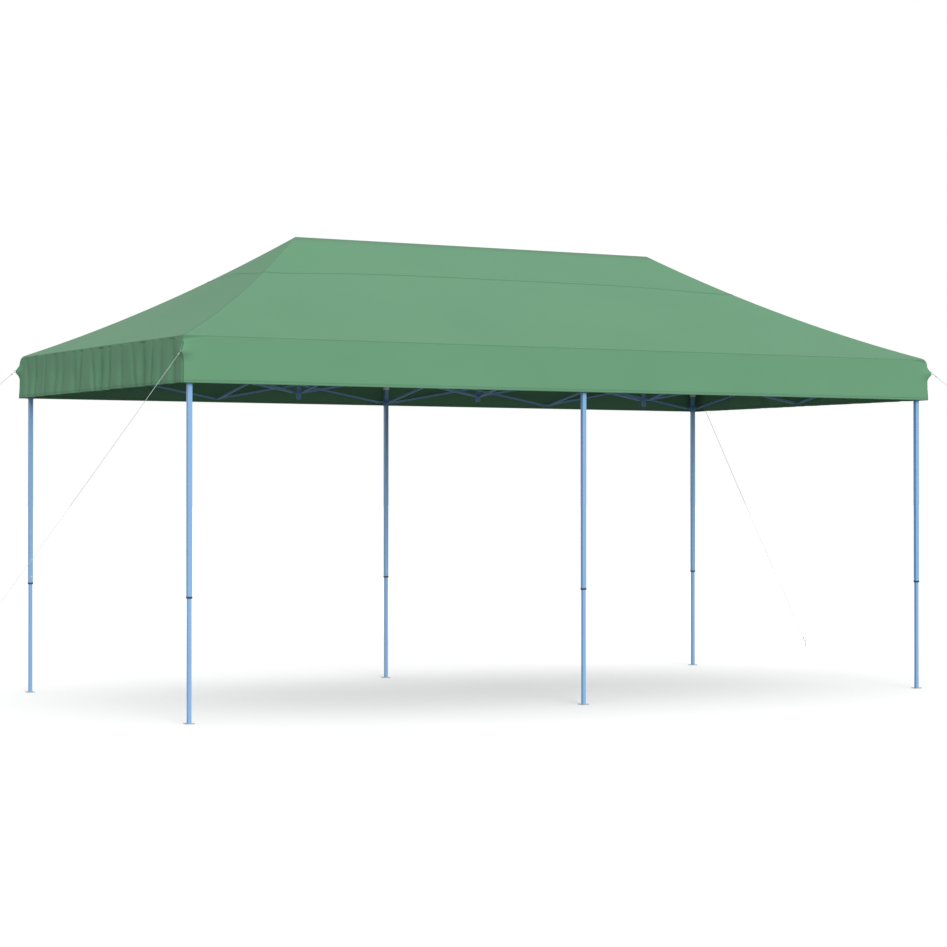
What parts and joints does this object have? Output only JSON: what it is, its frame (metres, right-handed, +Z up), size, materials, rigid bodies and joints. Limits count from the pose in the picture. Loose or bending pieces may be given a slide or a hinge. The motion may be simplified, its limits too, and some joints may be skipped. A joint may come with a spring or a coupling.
{
  "type": "pop up gazebo",
  "caption": "Folding gazebo with telescopic legs, a scissor truss under a hipped fabric canopy with a straight valance, and taut corner ropes to pegs.",
  "frame": {"origin": "on the ground at the middle of the footprint of the feet", "axes": "+Z up, +X along the long side and the ridge, -Y towards the front long side"},
  "size_m": [10.4418, 6.0418, 3.1659],
  "materials": {
    "blue_steel": "light blue-grey hammered powder coat on steel tube, slightly glossy",
    "white_plastic": "moulded white nylon, fine grain",
    "blue_plastic": "moulded blue-grey nylon, fine grain",
    "canopy_cloth": "sage green woven polyester with a faint coated sheen",
    "rope": "white braided polyester cord",
    "zinc": "zinc plated steel"
  },
  "bodies": {
    "centre_hub_upper": {"centre_hub_upper": "white_plastic"},
    "mid_bar_back_falling": {"mid_bar_back_falling": "blue_steel"},
    "mid_bar_back_rising": {"mid_bar_back_rising": "blue_steel"},
    "centre_hub_lower": {"centre_hub_lower": "blue_plastic"},
    "leg_upper_back_middle": {"leg_upper_back_middle": "blue_steel"},
    "leg_slider_back_middle": {"leg_slider_back_middle": "blue_plastic"},
    "leg_lower_back_middle": {"leg_lower_back_middle": "blue_steel"},
    "eave_bar_back_left_inner_falling": {"eave_bar_back_left_inner_falling": "blue_steel"},
    "eave_bar_back_left_inner_rising": {"eave_bar_back_left_inner_rising": "blue_steel"},
    "eave_bar_back_left_outer_falling": {"eave_bar_back_left_outer_falling": "blue_steel"},
    "eave_bar_back_left_outer_rising": {"eave_bar_back_left_outer_rising": "blue_steel"},
    "leg_upper_back_left": {"leg_upper_back_left": "blue_steel", "end_truss_left": "blue_steel"},
    "leg_slider_back_left": {"leg_slider_back_left": "blue_plastic"},
    "leg_lower_back_left": {"leg_lower_back_left": "blue_steel"},
    "eave_bar_back_right_inner_falling": {"eave_bar_back_right_inner_falling": "blue_steel"},
    "eave_bar_back_right_inner_rising": {"eave_bar_back_right_inner_rising": "blue_steel"},
    "eave_bar_back_right_outer_falling": {"eave_bar_back_right_outer_falling": "blue_steel"},
    "eave_bar_back_right_outer_rising": {"eave_bar_back_right_outer_rising": "blue_steel"},
    "leg_upper_back_right": {"leg_upper_back_right": "blue_steel", "end_truss_right": "blue_steel"},
    "leg_slider_back_right": {"leg_slider_back_right": "blue_plastic"},
    "leg_lower_back_right": {"leg_lower_back_right": "blue_steel"},
    "mid_bar_front_falling": {"mid_bar_front_falling": "blue_steel"},
    "mid_bar_front_rising": {"mid_bar_front_rising": "blue_steel"},
    "leg_upper_front_middle": {"leg_upper_front_middle": "blue_steel"},
    "leg_slider_front_middle": {"leg_slider_front_middle": "blue_plastic"},
    "leg_lower_front_middle": {"leg_lower_front_middle": "blue_steel"},
    "eave_bar_front_left_inner_falling": {"eave_bar_front_left_inner_falling": "blue_steel"},
    "eave_bar_front_left_inner_rising": {"eave_bar_front_left_inner_rising": "blue_steel"},
    "eave_bar_front_left_outer_falling": {"eave_bar_front_left_outer_falling": "blue_steel"},
    "eave_bar_front_left_outer_rising": {"eave_bar_front_left_outer_rising": "blue_steel"},
    "leg_upper_front_left": {"leg_upper_front_left": "blue_steel"},
    "leg_slider_front_left": {"leg_slider_front_left": "blue_plastic"},
    "leg_lower_front_left": {"leg_lower_front_left": "blue_steel"},
    "eave_bar_front_right_inner_falling": {"eave_bar_front_right_inner_falling": "blue_steel"},
    "eave_bar_front_right_inner_rising": {"eave_bar_front_right_inner_rising": "blue_steel"},
    "eave_bar_front_right_outer_falling": {"eave_bar_front_right_outer_falling": "blue_steel"},
    "eave_bar_front_right_outer_rising": {"eave_bar_front_right_outer_rising": "blue_steel"},
    "leg_upper_front_right": {"leg_upper_front_right": "blue_steel"},
    "leg_slider_front_right": {"leg_slider_front_right": "blue_plastic"},
    "leg_lower_front_right": {"leg_lower_front_right": "blue_steel"},
    "ridge_bar_left_falling": {"ridge_bar_left_falling": "blue_steel"},
    "ridge_bar_left_rising": {"ridge_bar_left_rising": "blue_steel"},
    "ridge_bracket_left": {"ridge_bracket_left": "white_plastic", "cross_truss_left": "blue_steel", "outer_ridge_truss_left": "blue_steel"},
    "ridge_post_left": {"ridge_post_left": "blue_steel"},
    "ridge_bar_right_falling": {"ridge_bar_right_falling": "blue_steel"},
    "ridge_bar_right_rising": {"ridge_bar_right_rising": "blue_steel"},
    "ridge_bracket_right": {"ridge_bracket_right": "white_plastic", "cross_truss_right": "blue_steel", "outer_ridge_truss_right": "blue_steel"},
    "ridge_post_right": {"ridge_post_right": "blue_steel"},
    "canopy": {"canopy": "canopy_cloth", "guy_rope_front_left": "rope", "guy_rope_front_right": "rope", "guy_rope_back_left": "rope", "guy_rope_back_right": "rope", "ground_pegs": "zinc"}
  },
  "joints": [
    {"name": "frame_fold", "type": "hinge", "parent": "centre_hub_upper", "child": "mid_bar_back_falling", "pos_m": [0, 0.02, 2.336], "axis": [-1, 0, 0], "range_deg": [0, 76], "deforming": ["end_truss_left", "end_truss_right", "cross_truss_left", "cross_truss_right", "outer_ridge_truss_left", "outer_ridge_truss_right"]},
    {"name": "cross_mid_bar_back_rising", "type": "hinge", "parent": "mid_bar_back_falling", "child": "mid_bar_back_rising", "pos_m": [0, 0.695, 2.218], "axis": [-1, 0, 0], "range_deg": [-152, 0]},
    {"name": "level_centre_hub_lower", "type": "hinge", "parent": "mid_bar_back_rising", "child": "centre_hub_lower", "pos_m": [0, 0.02, 2.1], "axis": [-1, 0, 0], "range_deg": [0, 76]},
    {"name": "level_leg_upper_back_middle", "type": "hinge", "parent": "mid_bar_back_rising", "child": "leg_upper_back_middle", "pos_m": [0, 1.37, 2.336], "axis": [-1, 0, 0], "range_deg": [0, 76]},
    {"name": "level_leg_slider_back_middle", "type": "hinge", "parent": "mid_bar_back_falling", "child": "leg_slider_back_middle", "pos_m": [0, 1.37, 2.1], "axis": [-1, 0, 0], "range_deg": [-76, 0]},
    {"name": "turn_eave_bar_back_left_inner_falling", "type": "hinge", "parent": "leg_upper_back_middle", "child": "eave_bar_back_left_inner_falling", "pos_m": [-0.07, 1.41, 2.336], "axis": [0, -1, 0], "range_deg": [0, 76]},
    {"name": "cross_eave_bar_back_left_inner_rising", "type": "hinge", "parent": "eave_bar_back_left_inner_falling", "child": "eave_bar_back_left_inner_rising", "pos_m": [-0.745, 1.41, 2.218], "axis": [0, -1, 0], "range_deg": [-152, 0]},
    {"name": "turn_eave_bar_back_left_outer_falling", "type": "hinge", "parent": "eave_bar_back_left_inner_rising", "child": "eave_bar_back_left_outer_falling", "pos_m": [-1.42, 1.41, 2.336], "axis": [0, -1, 0], "range_deg": [0, 152]},
    {"name": "cross_eave_bar_back_left_outer_rising", "type": "hinge", "parent": "eave_bar_back_left_outer_falling", "child": "eave_bar_back_left_outer_rising", "pos_m": [-2.095, 1.41, 2.218], "axis": [0, -1, 0], "range_deg": [-152, 0]},
    {"name": "level_leg_upper_back_left", "type": "hinge", "parent": "eave_bar_back_left_outer_rising", "child": "leg_upper_back_left", "pos_m": [-2.77, 1.41, 2.336], "axis": [0, -1, 0], "range_deg": [0, 76]},
    {"name": "level_leg_slider_back_left", "type": "hinge", "parent": "eave_bar_back_left_outer_falling", "child": "leg_slider_back_left", "pos_m": [-2.77, 1.41, 2.1], "axis": [0, -1, 0], "range_deg": [-76, 0]},
    {"name": "turn_eave_bar_back_right_inner_falling", "type": "hinge", "parent": "leg_upper_back_middle", "child": "eave_bar_back_right_inner_falling", "pos_m": [0.07, 1.41, 2.336], "axis": [0, 1, 0], "range_deg": [0, 76]},
    {"name": "cross_eave_bar_back_right_inner_rising", "type": "hinge", "parent": "eave_bar_back_right_inner_falling", "child": "eave_bar_back_right_inner_rising", "pos_m": [0.745, 1.41, 2.218], "axis": [0, 1, 0], "range_deg": [-152, 0]},
    {"name": "turn_eave_bar_back_right_outer_falling", "type": "hinge", "parent": "eave_bar_back_right_inner_rising", "child": "eave_bar_back_right_outer_falling", "pos_m": [1.42, 1.41, 2.336], "axis": [0, 1, 0], "range_deg": [0, 152]},
    {"name": "cross_eave_bar_back_right_outer_rising", "type": "hinge", "parent": "eave_bar_back_right_outer_falling", "child": "eave_bar_back_right_outer_rising", "pos_m": [2.095, 1.41, 2.218], "axis": [0, 1, 0], "range_deg": [-152, 0]},
    {"name": "level_leg_upper_back_right", "type": "hinge", "parent": "eave_bar_back_right_outer_rising", "child": "leg_upper_back_right", "pos_m": [2.77, 1.41, 2.336], "axis": [0, 1, 0], "range_deg": [0, 76]},
    {"name": "level_leg_slider_back_right", "type": "hinge", "parent": "eave_bar_back_right_outer_falling", "child": "leg_slider_back_right", "pos_m": [2.77, 1.41, 2.1], "axis": [0, 1, 0], "range_deg": [-76, 0]},
    {"name": "turn_mid_bar_front_falling", "type": "hinge", "parent": "centre_hub_upper", "child": "mid_bar_front_falling", "pos_m": [0, -0.02, 2.336], "axis": [1, 0, 0], "range_deg": [0, 76]},
    {"name": "cross_mid_bar_front_rising", "type": "hinge", "parent": "mid_bar_front_falling", "child": "mid_bar_front_rising", "pos_m": [0, -0.695, 2.218], "axis": [1, 0, 0], "range_deg": [-152, 0]},
    {"name": "level_leg_upper_front_middle", "type": "hinge", "parent": "mid_bar_front_rising", "child": "leg_upper_front_middle", "pos_m": [0, -1.37, 2.336], "axis": [1, 0, 0], "range_deg": [0, 76]},
    {"name": "level_leg_slider_front_middle", "type": "hinge", "parent": "mid_bar_front_falling", "child": "leg_slider_front_middle", "pos_m": [0, -1.37, 2.1], "axis": [1, 0, 0], "range_deg": [-76, 0]},
    {"name": "turn_eave_bar_front_left_inner_falling", "type": "hinge", "parent": "leg_upper_front_middle", "child": "eave_bar_front_left_inner_falling", "pos_m": [-0.07, -1.41, 2.336], "axis": [0, -1, 0], "range_deg": [0, 76]},
    {"name": "cross_eave_bar_front_left_inner_rising", "type": "hinge", "parent": "eave_bar_front_left_inner_falling", "child": "eave_bar_front_left_inner_rising", "pos_m": [-0.745, -1.41, 2.218], "axis": [0, -1, 0], "range_deg": [-152, 0]},
    {"name": "turn_eave_bar_front_left_outer_falling", "type": "hinge", "parent": "eave_bar_front_left_inner_rising", "child": "eave_bar_front_left_outer_falling", "pos_m": [-1.42, -1.41, 2.336], "axis": [0, -1, 0], "range_deg": [0, 152]},
    {"name": "cross_eave_bar_front_left_outer_rising", "type": "hinge", "parent": "eave_bar_front_left_outer_falling", "child": "eave_bar_front_left_outer_rising", "pos_m": [-2.095, -1.41, 2.218], "axis": [0, -1, 0], "range_deg": [-152, 0]},
    {"name": "level_leg_upper_front_left", "type": "hinge", "parent": "eave_bar_front_left_outer_rising", "child": "leg_upper_front_left", "pos_m": [-2.77, -1.41, 2.336], "axis": [0, -1, 0], "range_deg": [0, 76]},
    {"name": "level_leg_slider_front_left", "type": "hinge", "parent": "eave_bar_front_left_outer_falling", "child": "leg_slider_front_left", "pos_m": [-2.77, -1.41, 2.1], "axis": [0, -1, 0], "range_deg": [-76, 0]},
    {"name": "turn_eave_bar_front_right_inner_falling", "type": "hinge", "parent": "leg_upper_front_middle", "child": "eave_bar_front_right_inner_falling", "pos_m": [0.07, -1.41, 2.336], "axis": [0, 1, 0], "range_deg": [0, 76]},
    {"name": "cross_eave_bar_front_right_inner_rising", "type": "hinge", "parent": "eave_bar_front_right_inner_falling", "child": "eave_bar_front_right_inner_rising", "pos_m": [0.745, -1.41, 2.218], "axis": [0, 1, 0], "range_deg": [-152, 0]},
    {"name": "turn_eave_bar_front_right_outer_falling", "type": "hinge", "parent": "eave_bar_front_right_inner_rising", "child": "eave_bar_front_right_outer_falling", "pos_m": [1.42, -1.41, 2.336], "axis": [0, 1, 0], "range_deg": [0, 152]},
    {"name": "cross_eave_bar_front_right_outer_rising", "type": "hinge", "parent": "eave_bar_front_right_outer_falling", "child": "eave_bar_front_right_outer_rising", "pos_m": [2.095, -1.41, 2.218], "axis": [0, 1, 0], "range_deg": [-152, 0]},
    {"name": "level_leg_upper_front_right", "type": "hinge", "parent": "eave_bar_front_right_outer_rising", "child": "leg_upper_front_right", "pos_m": [2.77, -1.41, 2.336], "axis": [0, 1, 0], "range_deg": [0, 76]},
    {"name": "level_leg_slider_front_right", "type": "hinge", "parent": "eave_bar_front_right_outer_falling", "child": "leg_slider_front_right", "pos_m": [2.77, -1.41, 2.1], "axis": [0, 1, 0], "range_deg": [-76, 0]},
    {"name": "turn_ridge_bar_left_falling", "type": "hinge", "parent": "centre_hub_upper", "child": "ridge_bar_left_falling", "pos_m": [-0.02, 0, 2.336], "axis": [0, -1, 0], "range_deg": [0, 76]},
    {"name": "cross_ridge_bar_left_rising", "type": "hinge", "parent": "ridge_bar_left_falling", "child": "ridge_bar_left_rising", "pos_m": [-0.695, 0, 2.218], "axis": [0, -1, 0], "range_deg": [-152, 0]},
    {"name": "level_ridge_bracket_left", "type": "hinge", "parent": "ridge_bar_left_rising", "child": "ridge_bracket_left", "pos_m": [-1.37, 0, 2.336], "axis": [0, -1, 0], "range_deg": [0, 76]},
    {"name": "level_ridge_post_left", "type": "hinge", "parent": "ridge_bar_left_falling", "child": "ridge_post_left", "pos_m": [-1.37, 0, 2.1], "axis": [0, -1, 0], "range_deg": [-76, 0]},
    {"name": "turn_ridge_bar_right_falling", "type": "hinge", "parent": "centre_hub_upper", "child": "ridge_bar_right_falling", "pos_m": [0.02, 0, 2.336], "axis": [0, 1, 0], "range_deg": [0, 76]},
    {"name": "cross_ridge_bar_right_rising", "type": "hinge", "parent": "ridge_bar_right_falling", "child": "ridge_bar_right_rising", "pos_m": [0.695, 0, 2.218], "axis": [0, 1, 0], "range_deg": [-152, 0]},
    {"name": "level_ridge_bracket_right", "type": "hinge", "parent": "ridge_bar_right_rising", "child": "ridge_bracket_right", "pos_m": [1.37, 0, 2.336], "axis": [0, 1, 0], "range_deg": [0, 76]},
    {"name": "level_ridge_post_right", "type": "hinge", "parent": "ridge_bar_right_falling", "child": "ridge_post_right", "pos_m": [1.37, 0, 2.1], "axis": [0, 1, 0], "range_deg": [-76, 0]},
    {"name": "canopy_lift", "type": "slide", "parent": "centre_hub_upper", "child": "canopy", "axis": [0, 0, 1], "range_m": [0, 0.4]},
    {"name": "leg_telescope_front_left", "type": "slide", "parent": "leg_upper_front_left", "child": "leg_lower_front_left", "axis": [0, 0, 1], "range_m": [0, 0.7]},
    {"name": "leg_telescope_front_middle", "type": "slide", "parent": "leg_upper_front_middle", "child": "leg_lower_front_middle", "axis": [0, 0, 1], "range_m": [0, 0.7]},
    {"name": "leg_telescope_front_right", "type": "slide", "parent": "leg_upper_front_right", "child": "leg_lower_front_right", "axis": [0, 0, 1], "range_m": [0, 0.7]},
    {"name": "leg_telescope_back_left", "type": "slide", "parent": "leg_upper_back_left", "child": "leg_lower_back_left", "axis": [0, 0, 1], "range_m": [0, 0.7]},
    {"name": "leg_telescope_back_middle", "type": "slide", "parent": "leg_upper_back_middle", "child": "leg_lower_back_middle", "axis": [0, 0, 1], "range_m": [0, 0.7]},
    {"name": "leg_telescope_back_right", "type": "slide", "parent": "leg_upper_back_right", "child": "leg_lower_back_right", "axis": [0, 0, 1], "range_m": [0, 0.7]}
  ],
  "couplings": [
    {"joint": "cross_mid_bar_back_rising", "follows": "frame_fold", "ratio": -2},
    {"joint": "level_centre_hub_lower", "follows": "frame_fold", "ratio": 1},
    {"joint": "level_leg_upper_back_middle", "follows": "frame_fold", "ratio": 1},
    {"joint": "level_leg_slider_back_middle", "follows": "frame_fold", "ratio": -1},
    {"joint": "turn_eave_bar_back_left_inner_falling", "follows": "frame_fold", "ratio": 1},
    {"joint": "cross_eave_bar_back_left_inner_rising", "follows": "frame_fold", "ratio": -2},
    {"joint": "turn_eave_bar_back_left_outer_falling", "follows": "frame_fold", "ratio": 2},
    {"joint": "cross_eave_bar_back_left_outer_rising", "follows": "frame_fold", "ratio": -2},
    {"joint": "level_leg_upper_back_left", "follows": "frame_fold", "ratio": 1},
    {"joint": "level_leg_slider_back_left", "follows": "frame_fold", "ratio": -1},
    {"joint": "turn_eave_bar_back_right_inner_falling", "follows": "frame_fold", "ratio": 1},
    {"joint": "cross_eave_bar_back_right_inner_rising", "follows": "frame_fold", "ratio": -2},
    {"joint": "turn_eave_bar_back_right_outer_falling", "follows": "frame_fold", "ratio": 2},
    {"joint": "cross_eave_bar_back_right_outer_rising", "follows": "frame_fold", "ratio": -2},
    {"joint": "level_leg_upper_back_right", "follows": "frame_fold", "ratio": 1},
    {"joint": "level_leg_slider_back_right", "follows": "frame_fold", "ratio": -1},
    {"joint": "turn_mid_bar_front_falling", "follows": "frame_fold", "ratio": 1},
    {"joint": "cross_mid_bar_front_rising", "follows": "frame_fold", "ratio": -2},
    {"joint": "level_leg_upper_front_middle", "follows": "frame_fold", "ratio": 1},
    {"joint": "level_leg_slider_front_middle", "follows": "frame_fold", "ratio": -1},
    {"joint": "turn_eave_bar_front_left_inner_falling", "follows": "frame_fold", "ratio": 1},
    {"joint": "cross_eave_bar_front_left_inner_rising", "follows": "frame_fold", "ratio": -2},
    {"joint": "turn_eave_bar_front_left_outer_falling", "follows": "frame_fold", "ratio": 2},
    {"joint": "cross_eave_bar_front_left_outer_rising", "follows": "frame_fold", "ratio": -2},
    {"joint": "level_leg_upper_front_left", "follows": "frame_fold", "ratio": 1},
    {"joint": "level_leg_slider_front_left", "follows": "frame_fold", "ratio": -1},
    {"joint": "turn_eave_bar_front_right_inner_falling", "follows": "frame_fold", "ratio": 1},
    {"joint": "cross_eave_bar_front_right_inner_rising", "follows": "frame_fold", "ratio": -2},
    {"joint": "turn_eave_bar_front_right_outer_falling", "follows": "frame_fold", "ratio": 2},
    {"joint": "cross_eave_bar_front_right_outer_rising", "follows": "frame_fold", "ratio": -2},
    {"joint": "level_leg_upper_front_right", "follows": "frame_fold", "ratio": 1},
    {"joint": "level_leg_slider_front_right", "follows": "frame_fold", "ratio": -1},
    {"joint": "turn_ridge_bar_left_falling", "follows": "frame_fold", "ratio": 1},
    {"joint": "cross_ridge_bar_left_rising", "follows": "frame_fold", "ratio": -2},
    {"joint": "level_ridge_bracket_left", "follows": "frame_fold", "ratio": 1},
    {"joint": "level_ridge_post_left", "follows": "frame_fold", "ratio": -1},
    {"joint": "turn_ridge_bar_right_falling", "follows": "frame_fold", "ratio": 1},
    {"joint": "cross_ridge_bar_right_rising", "follows": "frame_fold", "ratio": -2},
    {"joint": "level_ridge_bracket_right", "follows": "frame_fold", "ratio": 1},
    {"joint": "level_ridge_post_right", "follows": "frame_fold", "ratio": -1}
  ]
}
